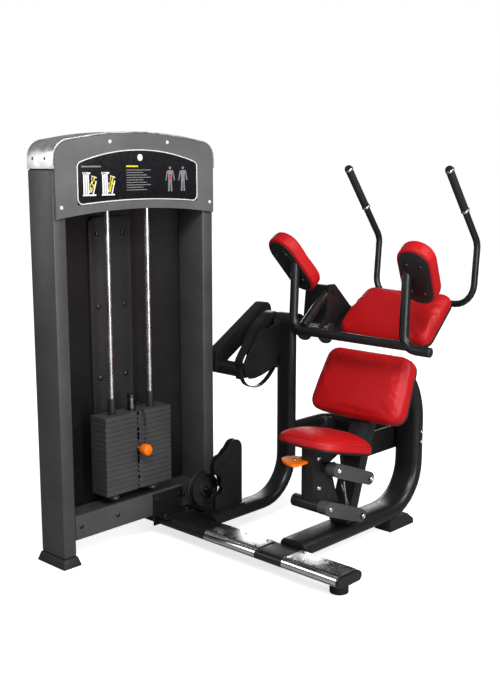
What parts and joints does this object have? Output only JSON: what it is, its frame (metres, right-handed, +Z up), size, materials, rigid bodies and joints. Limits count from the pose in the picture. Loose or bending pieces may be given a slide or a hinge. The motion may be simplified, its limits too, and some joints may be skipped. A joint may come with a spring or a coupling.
{
  "type": "abdominal crunch machine",
  "caption": "Seated abdominal crunch machine: a selectorised weight tower, a base frame, an adjustable seat and a swinging arm with elbow pads, back pad and handles.",
  "frame": {"origin": "on the floor, under the front outer corner of the tower's left post", "axes": "+X from the tower's front face towards the seat, +Y from the user's knees towards their back, +Z up"},
  "size_m": [1.1451, 1.3835, 1.558],
  "materials": {
    "frame_black": "satin black powder coat with a fine texture",
    "tower_grey": "satin dark grey powder coat",
    "header_grey": "moulded mid grey plastic",
    "cap_silver": "bright polished sheet",
    "chrome": "polished chrome plate",
    "foot_plate_steel": "brushed stainless sheet",
    "weight_iron": "matt black painted iron",
    "rubber_black": "matt moulded rubber",
    "red_leather": "grained red upholstery vinyl over foam",
    "orange_plastic": "glossy moulded plastic",
    "placard_black": "glossy black panel"
  },
  "bodies": {
    "frame": {"left_post": "tower_grey", "right_post": "tower_grey", "base_beam": "tower_grey", "rear_shroud": "tower_grey", "left_foot": "rubber_black", "right_foot": "rubber_black", "beam_foot": "rubber_black", "bend_foot": "rubber_black", "header_panel": "header_grey", "top_cap": "cap_silver", "placard": "placard_black", "guide_rod_left": "chrome", "guide_rod_right": "chrome", "weight_plate_09": "weight_iron", "weight_plate_10": "weight_iron", "weight_plate_11": "weight_iron", "weight_plate_12": "weight_iron", "weight_plate_13": "weight_iron", "weight_plate_14": "weight_iron", "weight_plate_15": "weight_iron", "weight_plate_16": "weight_iron", "foot_plate_inner": "foot_plate_steel", "foot_plate_outer": "foot_plate_steel", "lower_back_pad": "red_leather", "top_beam": "frame_black", "foot_beam": "frame_black", "left_frame": "frame_black", "right_frame": "frame_black", "cross_tube": "frame_black", "seat_post": "frame_black", "support_tube": "frame_black", "diagonal_support": "frame_black", "pulley_bracket": "frame_black"},
    "arm": {"pivot_shaft": "chrome", "cam": "frame_black", "arm_bracket": "frame_black", "pad_bar": "frame_black", "handle_bar": "frame_black", "grip_left": "rubber_black", "grip_right": "rubber_black", "upper_back_pad": "red_leather", "elbow_pad_left": "red_leather", "elbow_pad_right": "red_leather"},
    "selected_stack": {"weight_plate_01": "weight_iron", "weight_plate_02": "weight_iron", "weight_plate_03": "weight_iron", "weight_plate_04": "weight_iron", "weight_plate_05": "weight_iron", "weight_plate_06": "weight_iron", "weight_plate_07": "weight_iron", "weight_plate_08": "weight_iron", "selector_stem": "chrome"},
    "selector_pin": {"selector_pin": "orange_plastic"},
    "lower_pulley": {"lower_pulley": "frame_black"},
    "top_pulley": {"top_pulley": "frame_black"},
    "upper_link": {"upper_link": "frame_black"},
    "lower_link": {"lower_link": "frame_black"},
    "seat_carriage": {"seat_carriage": "frame_black", "seat_pad": "red_leather"},
    "seat_lever": {"seat_lever": "orange_plastic"}
  },
  "joints": [
    {"name": "arm_pivot", "type": "hinge", "parent": "frame", "child": "arm", "pos_m": [0.2, 1.04, 0.8], "axis": [1, 0, 0], "range_deg": [0, 50]},
    {"name": "stack_lift", "type": "slide", "parent": "frame", "child": "selected_stack", "axis": [0, 0, 1], "range_m": [0, 0.17]},
    {"name": "pin_pull", "type": "slide", "parent": "selected_stack", "child": "selector_pin", "axis": [1, 0, 0], "range_m": [0, 0.06]},
    {"name": "lower_pulley_spin", "type": "hinge", "parent": "frame", "child": "lower_pulley", "pos_m": [0.1565, 0.71, 0.326], "axis": [1, 0, 0], "range_deg": [0, 360]},
    {"name": "top_pulley_spin", "type": "hinge", "parent": "frame", "child": "top_pulley", "pos_m": [-0.065, 0.425, 1.432], "axis": [1, 0, 0], "range_deg": [0, 210]},
    {"name": "upper_link_pivot", "type": "hinge", "parent": "frame", "child": "upper_link", "pos_m": [0.6, 0.898, 0.286], "axis": [1, 0, 0], "range_deg": [-3, 16]},
    {"name": "lower_link_pivot", "type": "hinge", "parent": "frame", "child": "lower_link", "pos_m": [0.6, 0.853, 0.152], "axis": [1, 0, 0], "range_deg": [-4, 17]},
    {"name": "carriage_pivot", "type": "hinge", "parent": "upper_link", "child": "seat_carriage", "pos_m": [0.6, 0.704, 0.36], "axis": [1, 0, 0], "range_deg": [-17, 4]},
    {"name": "lever_pull", "type": "hinge", "parent": "seat_carriage", "child": "seat_lever", "pos_m": [0.571, 0.62, 0.388], "axis": [0, 1, 0], "range_deg": [0, 8]}
  ],
  "couplings": [
    {"joint": "stack_lift", "follows": "arm_pivot", "m_per_rad": 0.185},
    {"joint": "lower_pulley_spin", "follows": "arm_pivot", "ratio": 6.9811},
    {"joint": "top_pulley_spin", "follows": "arm_pivot", "ratio": 4.0659},
    {"joint": "lower_link_pivot", "follows": "upper_link_pivot", "ratio": 1},
    {"joint": "carriage_pivot", "follows": "upper_link_pivot", "ratio": -1}
  ]
}
